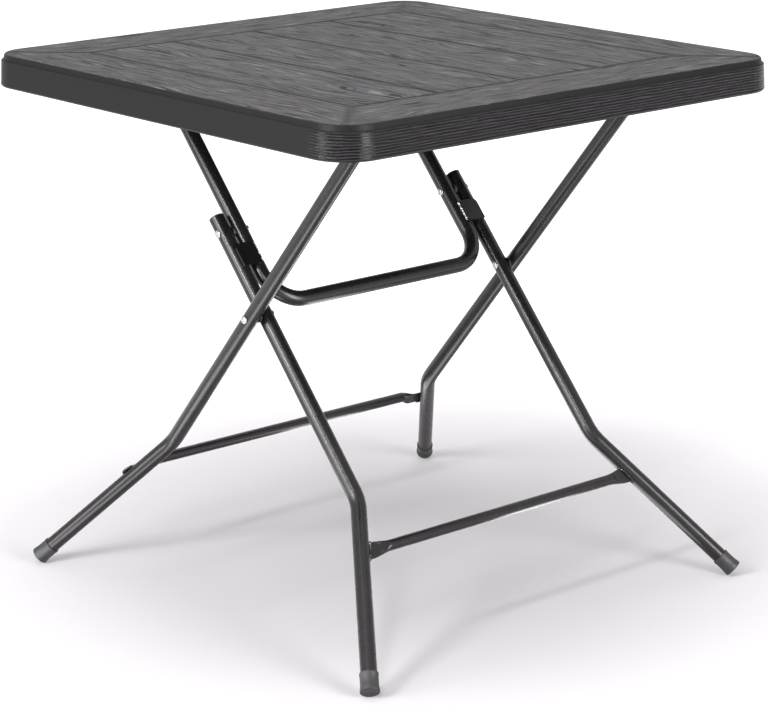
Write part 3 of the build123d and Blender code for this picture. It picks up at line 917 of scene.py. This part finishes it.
def inner_bar_surface():
    """Crossbar between the inner legs; its fishtails end just inside the legs' walls."""
    thickness = 4.6 * MM
    wall = inner_leg_wall(INNER_BAR_DROP)
    lean_from = 236 * MM
    pressing = np.linspace(202 * MM, 240 * MM, 22)
    ends = np.linspace(242 * MM, wall + 1.2 * MM, 5)
    half = []
    for x in np.concatenate([[0, 120 * MM, 196 * MM], pressing, ends]):
        share, a, b, dip = pressing_at(x, *INNER_PRESSING, thickness)
        lean = float(np.clip((x - lean_from) / (wall - lean_from), 0, 1))
        half.append((x, INNER_BAR_DROP, a, b, 0.0, 2 + 3 * share, dip + 0.25 * share, lean))
    right = pressed_rings(half, on_inner, math.tan(INNER_LEG.angle))
    left = right[:0:-1] * MIRROR
    return tube_surface(np.concatenate([left, right])[::-1])


# Welds of the crossbars and plates


def fishtail_bead():
    """Lumpy bead on a flat ellipse round the fishtail where it meets the leg's sloping wall."""
    angle = full_turn(96)
    wide = (FLAT_WIDTH / 2 + 0.4 * MM) * np.cos(angle)
    thick = 3.0 * MM * np.sin(angle)
    wall = inner_leg_wall(INNER_BAR_DROP + wide)
    path = on_inner(wall - 0.6 * MM, INNER_BAR_DROP + wide, thick)
    outward = np.cos(angle)[:, None] * INNER_DOWN + np.sin(angle)[:, None] * INNER_NORMAL
    return bead(path, outward - 0.4 * ACROSS, True, 2.3 * MM, 0.26)


def tongue_beads():
    """Two short beads that hold a tongue to the back of its leg, above and below."""
    surfaces = []
    centre = float(OUTER_LEG.axis_x(OUTER_BAR_DROP)) - 3.0 * MM
    x = centre + np.linspace(-6.5, 6.5, 30) * MM
    for side in (1, -1):
        drop = OUTER_BAR_DROP + side * (FLAT_WIDTH / 2 + 0.2 * MM)
        path = on_outer(x, drop, TUBE_RADIUS + 0.2 * MM)
        surfaces.append(bead(path, OUTER_NORMAL, False, 1.5 * MM, 0.2))
    return surfaces


def plate_bead():
    """Bead down the inner edge of a stop plate, where it lies on the prop's arm."""
    middle = PLATE_FROM_PIVOT - PROP_PIVOT_UP
    drop = middle + np.linspace(-0.46, 0.46, 44) * PLATE_LENGTH
    off_edge = 0.9 * MM
    path = on_inner(PLATE_INNER_EDGE - off_edge, drop, PLATE_LIFT - off_edge)
    return bead(path, -INNER_NORMAL - 0.5 * ACROSS, False, 1.7 * MM, 0.3)


# Operators


class CARDTABLE_OT_finish_top(bpy.types.Operator):
    """Give the moulded top its embossed grain"""

    bl_idname = "cardtable.finish_top"
    bl_label = "Finish the top"

    def execute(self, context):
        dress(moulded_top(), "tabletop_panel")
        return {"FINISHED"}


class CARDTABLE_OT_finish_frames(bpy.types.Operator):
    """Powder coat the tube frames and the stop plates"""

    bl_idname = "cardtable.finish_frames"
    bl_label = "Finish the frames"

    def execute(self, context):
        coat = powder_coat("Polyester powder coat, half gloss", paint("frame"), 0.27, 0.003 * MM)
        dress(
            coat, *sides("outer_leg"), "outer_hinge_tube", *sides("inner_leg"), "prop_tube",
            "prop_hinge_tube",
        )
        plate = powder_coat("Polyester powder coat, black", paint("plate"), 0.3, 0.02 * MM)
        dress(plate, *sides("stop_plate"))
        round_edges(*sides("stop_plate"))
        for name, surface in (("outer", outer_bar_surface()), ("inner", inner_bar_surface())):
            bar = f"{name}_crossbar"
            make_piece(f"{bar}_pressed", [surface], coat, f"{name}_frame", (bar,))
        return {"FINISHED"}


class CARDTABLE_OT_make_feet(bpy.types.Operator):
    """Make the rubber feet"""

    bl_idname = "cardtable.make_feet"
    bl_label = "Make the feet"

    def execute(self, context):
        rubber = moulded_rubber()
        for name, leg in (("outer", OUTER_LEG), ("inner", INNER_LEG)):
            make_piece(
                f"{name}_rubber_feet", both(rubber_foot(leg)), rubber, f"{name}_frame",
                sides(f"{name}_foot_cap"),
            )
        return {"FINISHED"}


class CARDTABLE_OT_make_plugs(bpy.types.Operator):
    """Make the plugs of the tube ends, the washers and the spacers"""

    bl_idname = "cardtable.make_plugs"
    bl_label = "Make plugs and washers"

    def execute(self, context):
        plastic = moulded_plug()
        hole = RIVET_RADIUS + SEAT_GAP
        washer = ring(
            INNER_WALL + MOVING_GAP, OUTER_LEG_OFFSET - TUBE_RADIUS - SEAT_GAP,
            hole, 8 * MM, 0.4 * MM, CROSS_PIVOT,
        )
        spacer = ring(
            ARM_WALL + MOVING_GAP, INNER_LEG_OFFSET - TUBE_RADIUS - SEAT_GAP,
            hole, 7.5 * MM, 0.5 * MM, PROP_PIVOT,
        )
        outer_plug = tube_plug(OUTER_WALL, OUTER_HINGE)
        prop_plug = tube_plug(ARM_WALL, PROP_HINGE)
        plugs, washers = "plastic_plugs", "nylon_washers"
        for name, surface, body, slot, node in (
            ("outer_tube_end_plugs", outer_plug, "outer_frame", plugs, "outer_hinge_tube_plugs"),
            ("prop_tube_end_plugs", prop_plug, "prop_frame", plugs, "prop_hinge_tube_plugs"),
            ("inner_leg_caps", stub_plug(), "inner_frame", plugs, "inner_leg_end_plugs"),
            ("cross_washers", washer, "outer_frame", washers, "cross_pivot_washers"),
            ("prop_spacers", spacer, "inner_frame", washers, "prop_pivot_spacers"),
        ):
            make_piece(name, both(surface), plastic, body, (node,))
        return {"FINISHED"}


class CARDTABLE_OT_make_rivets(bpy.types.Operator):
    """Make the domed rivets of the pivots"""

    bl_idname = "cardtable.make_rivets"
    bl_label = "Make the rivets"

    def execute(self, context):
        bright = zinc_plate("Zinc, electroplated bright", paint("zinc"), 0.24, 6.0)
        cross = rivet(
            INNER_LEG_OFFSET - TUBE_RADIUS - SEAT_GAP, OUTER_WALL + SEAT_GAP,
            2.0 * MM, 3.5 * MM, CROSS_PIVOT,
        )
        outer_half = rivet(
            ARM_WALL + MOVING_GAP, INNER_WALL + SEAT_GAP, 0.0, 1.8 * MM, PROP_PIVOT
        )
        inner_half = rivet(
            PROP_ARM_OFFSET - TUBE_RADIUS - SEAT_GAP, ARM_WALL, 3.5 * MM, 0.0, PROP_PIVOT
        )
        for name, surface, body, nodes in (
            ("cross_rivets", cross, "outer_frame", sides("cross_pivot_rivet")),
            ("prop_rivets", outer_half, "inner_frame", sides("prop_pivot_rivet")),
            ("prop_rivet_domes", inner_half, "prop_frame", ("prop_pivot_rivet_heads",)),
        ):
            make_piece(name, both(surface), bright, body, nodes)
        return {"FINISHED"}


class CARDTABLE_OT_finish_straps(bpy.types.Operator):
    """Zinc the hinge straps and make their screws"""

    bl_idname = "cardtable.finish_straps"
    bl_label = "Finish the straps"

    def execute(self, context):
        dull = zinc_plate("Zinc, passivated", paint("strap"), 0.36, 14.0)
        dress(dull, *sides("outer_hinge_strap"), *sides("prop_hinge_strap"))
        spacing = TUBE_RADIUS + SEAT_GAP + STRAP_SHEET + SCREW_FROM_STRAP
        places = (OUTER_HINGE, OUTER_STRAP_OFFSET), (PROP_HINGE, PROP_STRAP_OFFSET)
        heads = [
            screw_head(x, hinge[1] + side * spacing)
            for hinge, offset in places
            for x in (offset, -offset)
            for side in (1, -1)
        ]
        make_piece(
            "strap_screw_heads", heads, dull, "tabletop", ("hinge_strap_screws",)
        )
        return {"FINISHED"}


class CARDTABLE_OT_add_welds(bpy.types.Operator):
    """Lay the weld beads of hinge tubes, crossbars and stop plates"""

    bl_idname = "cardtable.add_welds"
    bl_label = "Add the welds"

    def execute(self, context):
        covered = coated_weld("Powder coat, even over weld ripples", 0.62)
        worn = coated_weld("Powder coat, thin over weld ripples", 0.47)
        outer_tees = tee_beads(OUTER_HINGE, OUTER_DOWN, OUTER_NORMAL, OUTER_LEG_OFFSET)
        prop_tees = tee_beads(PROP_HINGE, INNER_DOWN, INNER_NORMAL, PROP_ARM_OFFSET)
        for name, body, metal, surfaces in (
            ("outer_hinge_welds", "outer_frame", covered, outer_tees),
            ("prop_hinge_welds", "prop_frame", covered, prop_tees),
            ("inner_crossbar_welds", "inner_frame", covered, [fishtail_bead()]),
            ("outer_crossbar_welds", "outer_frame", covered, tongue_beads()),
            ("stop_plate_welds", "prop_frame", worn, [plate_bead()]),
        ):
            pairs = [one for surface in surfaces for one in both(surface)]
            make_piece(name, pairs, metal, body)
        return {"FINISHED"}


class CARDTABLE_OT_build_stage(bpy.types.Operator):
    """Set up the floor, the lights and the camera"""

    bl_idname = "cardtable.build_stage"
    bl_label = "Build the stage"

    def execute(self, context):
        make_floor()
        make_surround()
        make_lights()
        make_camera()
        return {"FINISHED"}


# Stage

FLOOR_HALF = 9.0

# Distances from the middle, in millimetres, between which the floor's painted glow grows, and its
# range.
# The glow is painted light, weak near the table and strong away from it, so the floor is painted
# darker round the table.
NEAR_PAINTED_GLOW = (250.0, 1200.0, 0.06, 0.58)
FAR_PAINTED_GLOW = (600.0, 1900.0, 0.0, 0.6)


def make_floor():
    """Pale floor with a painted glow that grows away from the table: painted light that fades it
    to white there and leaves it painted darker near the table, over the table's real soft shadow.
    """
    a = FLOOR_HALF
    mesh = bpy.data.meshes.new("floor")
    mesh.from_pydata([(-a, -a, 0), (a, -a, 0), (a, a, 0), (-a, a, 0)], [], [(0, 1, 2, 3)])
    floor = place_object("floor", mesh)
    material, tree = new_material("Studio floor, matt paint")
    place = millimetres(tree)[0]
    away = add(tree, "VectorMath", {0: place}, operation="LENGTH").outputs["Value"]
    unseen = add(tree, "BsdfDiffuse", {"Color": paint("floor")})
    # To the camera and in gloss the floor is a darker diffuse that keeps the real shadow, with the
    # painted glow added on top
    seen = add(tree, "BsdfDiffuse", {"Color": (0.55, 0.53, 0.55, 1)})
    strength = maths(tree, "ADD", ramp(tree, away, *NEAR_PAINTED_GLOW), ramp(tree, away, *FAR_PAINTED_GLOW))
    painted_glow = add(tree, "Emission", {"Color": (1, 0.985, 1, 1), "Strength": strength})
    lifted_by_painted_glow = add(tree, "AddShader", {0: seen, 1: painted_glow})
    path = add(tree, "LightPath").outputs
    shown = maths(tree, "MAXIMUM", path["Is Camera Ray"], path["Is Glossy Ray"])
    mixed = add(tree, "MixShader", {0: shown, 1: unseen, 2: lifted_by_painted_glow})
    # The floor is seen from above only, so that a camera below it sees the underside of the top
    clear = add(tree, "BsdfTransparent")
    below = add(tree, "NewGeometry").outputs["Backfacing"]
    one_sided = add(tree, "MixShader", {0: below, 1: mixed, 2: clear})
    add(tree, "OutputMaterial", {"Surface": one_sided})
    mesh.materials.append(material)


def make_surround():
    """A soft light all round, shown as white to the camera and in gloss and clear things."""
    world = bpy.data.worlds.new("Studio surround")
    bpy.context.scene.world = world
    world.use_nodes = True
    tree = world.node_tree
    tree.nodes.clear()
    path = add(tree, "LightPath").outputs
    seen = path["Is Camera Ray"]
    for kind in ("Is Glossy Ray", "Is Transmission Ray"):
        seen = maths(tree, "MAXIMUM", seen, path[kind])
    soft = add(tree, "Background", {"Color": (1, 1, 1, 1), "Strength": 0.17})
    white = add(tree, "Background", {"Color": (1, 1, 1, 1)})
    mixed = add(tree, "MixShader", {0: seen, 1: soft, 2: white})
    add(tree, "OutputWorld", {"Surface": mixed})


# Each lamp's name, place, aim, width and height in metres, and its watts
LAMPS = (
    ("overhead", (0.1, 0.3, 2.9), (0.0, 0.0, 0.5), 3.2, 3.2, 62.0),
    ("left_strip", (-3.05, 0.6, 0.95), (0.0, 0.0, 0.45), 1.2, 1.9, 62.0),
    ("right_strip", (0.2, -3.1, 0.95), (0.0, 0.0, 0.45), 1.2, 1.9, 120.0),
    ("upper_left", (-2.9, -0.3, 1.9), (-0.2, 0.1, 0.4), 0.3, 1.3, 72.0),
    ("camera_side", (-2.3, -1.7, 2.5), (0.0, 0.0, 0.4), 0.3, 1.1, 32.0),
    ("under_left", (-0.50, 0.0, 0.002), (-0.50, 0.0, 1.0), 0.2, 0.7, 3.0),
    ("under_right", (0.19, 0.0, 0.002), (0.19, 0.0, 1.0), 0.14, 0.7, 1.5),
)


def make_lights():
    """Seven lamps that the camera doesn't see.

    One wide lamp hangs overhead, two wide ones stand left and right, and two narrow ones draw
    the streaks on the tubes. Two weak ones lie just above the floor and face up, to draw the
    streaks on the outer legs, which face down.
    """
    for name, place, target, width, height, power in LAMPS:
        light = bpy.data.lights.new(name, "AREA")
        light.shape = "RECTANGLE"
        light.size, light.size_y = width, height
        light.energy = power
        lamp = place_object(name, light)
        lamp.location = place
        lamp.visible_camera = False
        aim = Vector(target) - Vector(place)
        lamp.rotation_euler = aim.to_track_quat("-Z", "Y").to_euler()


CAMERA_PLACE = (-2.33886, -2.75419, 1.32907)
CAMERA_AZIMUTH = -40.405
CAMERA_ELEVATION = 15.706
CAMERA_ROLL = -0.410
CAMERA_LENS = 123.640


def make_camera():
    """Camera at the viewing angle: raised, turned and slightly rolled, looking at the table."""
    lens = bpy.data.cameras.new("camera")
    lens.sensor_fit = "HORIZONTAL"
    lens.sensor_width = 36.0
    lens.lens = CAMERA_LENS
    lens.clip_end = 60.0
    camera = place_object("camera", lens)
    turn = Matrix.Translation(CAMERA_PLACE)
    turns = (CAMERA_AZIMUTH, "Z"), (90.0 - CAMERA_ELEVATION, "X"), (CAMERA_ROLL, "Z")
    for degrees, axis in turns:
        turn @= Matrix.Rotation(math.radians(degrees), 4, axis)
    camera.matrix_world = turn
    bpy.context.scene.camera = camera
    bpy.context.scene.view_settings.view_transform = "Standard"


# Panel and registration


STEPS = (
    CARDTABLE_OT_finish_top,
    CARDTABLE_OT_finish_frames,
    CARDTABLE_OT_make_feet,
    CARDTABLE_OT_make_plugs,
    CARDTABLE_OT_make_rivets,
    CARDTABLE_OT_finish_straps,
    CARDTABLE_OT_add_welds,
    CARDTABLE_OT_build_stage,
)


class CARDTABLE_PT_panel(bpy.types.Panel):
    """Buttons for the table's pieces and settings"""

    bl_idname = "CARDTABLE_PT_panel"
    bl_label = "Card Table"
    bl_space_type = "VIEW_3D"
    bl_region_type = "UI"
    bl_category = "Card Table"

    def draw(self, context):
        for step in STEPS:
            self.layout.operator(step.bl_idname)
        for group in (context.scene.card_table_sizes, context.scene.card_table_colours):
            for name in group.bl_rna.properties.keys():
                if name not in ("rna_type", "name"):
                    self.layout.prop(group, name)


CLASSES = (TableSizes, TableColours, *STEPS, CARDTABLE_PT_panel)


def register():
    """Registers the classes and hangs the settings on the scene."""
    for item in CLASSES:
        bpy.utils.register_class(item)
    bpy.types.Scene.card_table_sizes = PointerProperty(type=TableSizes)
    bpy.types.Scene.card_table_colours = PointerProperty(type=TableColours)


def unregister():
    """Takes the settings and the classes away again."""
    del bpy.types.Scene.card_table_colours
    del bpy.types.Scene.card_table_sizes
    for item in reversed(CLASSES):
        bpy.utils.unregister_class(item)


def main():
    """Makes every piece and the stage in order."""
    register()
    for step in STEPS:
        group, name = step.bl_idname.split(".")
        getattr(getattr(bpy.ops, group), name)()


if __name__ == "__main__":
    main()
